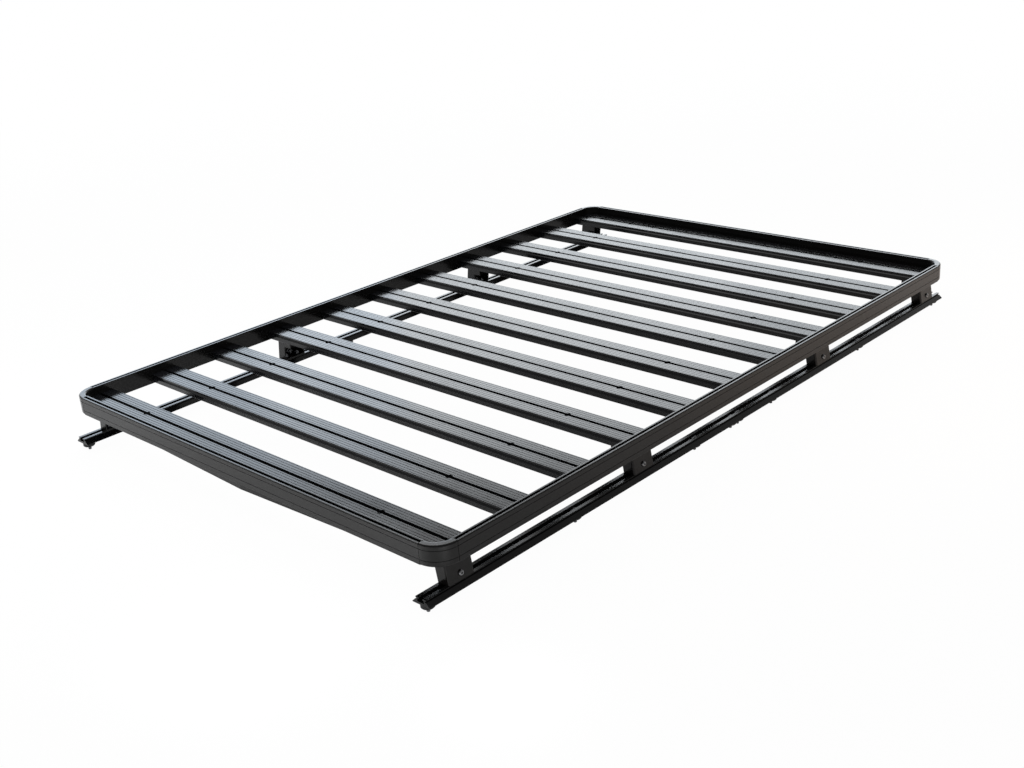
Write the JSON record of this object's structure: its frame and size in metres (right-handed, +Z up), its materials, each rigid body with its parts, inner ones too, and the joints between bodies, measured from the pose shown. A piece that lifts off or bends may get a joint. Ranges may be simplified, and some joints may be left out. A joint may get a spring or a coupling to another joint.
{
  "type": "flat platform roof rack",
  "caption": "Flat platform roof rack: slotted perimeter frame with rounded corners, ribbed cross slats with bolt slots, folded legs, studded roof tracks and a front wind deflector.",
  "frame": {"origin": "middle of the rack's footprint, level with the stud tips", "axes": "+X across the rack to its right side, +Y towards the rear, +Z up"},
  "size_m": [1.425, 2.203, 0.1523],
  "materials": {
    "rail_coat": "satin black powder coat on extruded aluminium",
    "casting_coat": "satin black powder coat on cast aluminium",
    "slat_coat": "satin black powder coat on extruded aluminium",
    "track_coat": "satin black coat on extruded aluminium",
    "leg_coat": "satin black powder coat on folded plate",
    "deflector_coat": "satin black powder coat on folded sheet",
    "pad_rubber": "moulded black rubber",
    "stud_steel": "dark zinc plated steel"
  },
  "bodies": {
    "root": {"front_rail": "rail_coat", "rear_rail": "rail_coat", "left_rail": "rail_coat", "right_rail": "rail_coat", "front_left_corner": "casting_coat", "front_right_corner": "casting_coat", "rear_left_corner": "casting_coat", "rear_right_corner": "casting_coat", "slat_01": "slat_coat", "slat_02": "slat_coat", "slat_03": "slat_coat", "slat_04": "slat_coat", "slat_05": "slat_coat", "slat_06": "slat_coat", "slat_07": "slat_coat", "slat_08": "slat_coat", "slat_09": "slat_coat", "slat_10": "slat_coat", "slat_11": "slat_coat", "left_front_track": "track_coat", "left_rear_track": "track_coat", "right_front_track": "track_coat", "right_rear_track": "track_coat", "left_leg_1": "leg_coat", "left_leg_2": "leg_coat", "left_leg_3": "leg_coat", "left_leg_4": "leg_coat", "right_leg_1": "leg_coat", "right_leg_2": "leg_coat", "right_leg_3": "leg_coat", "right_leg_4": "leg_coat", "wind_deflector": "deflector_coat", "left_track_pads": "pad_rubber", "right_track_pads": "pad_rubber", "left_track_studs": "stud_steel", "right_track_studs": "stud_steel"}
  },
  "joints": []
}
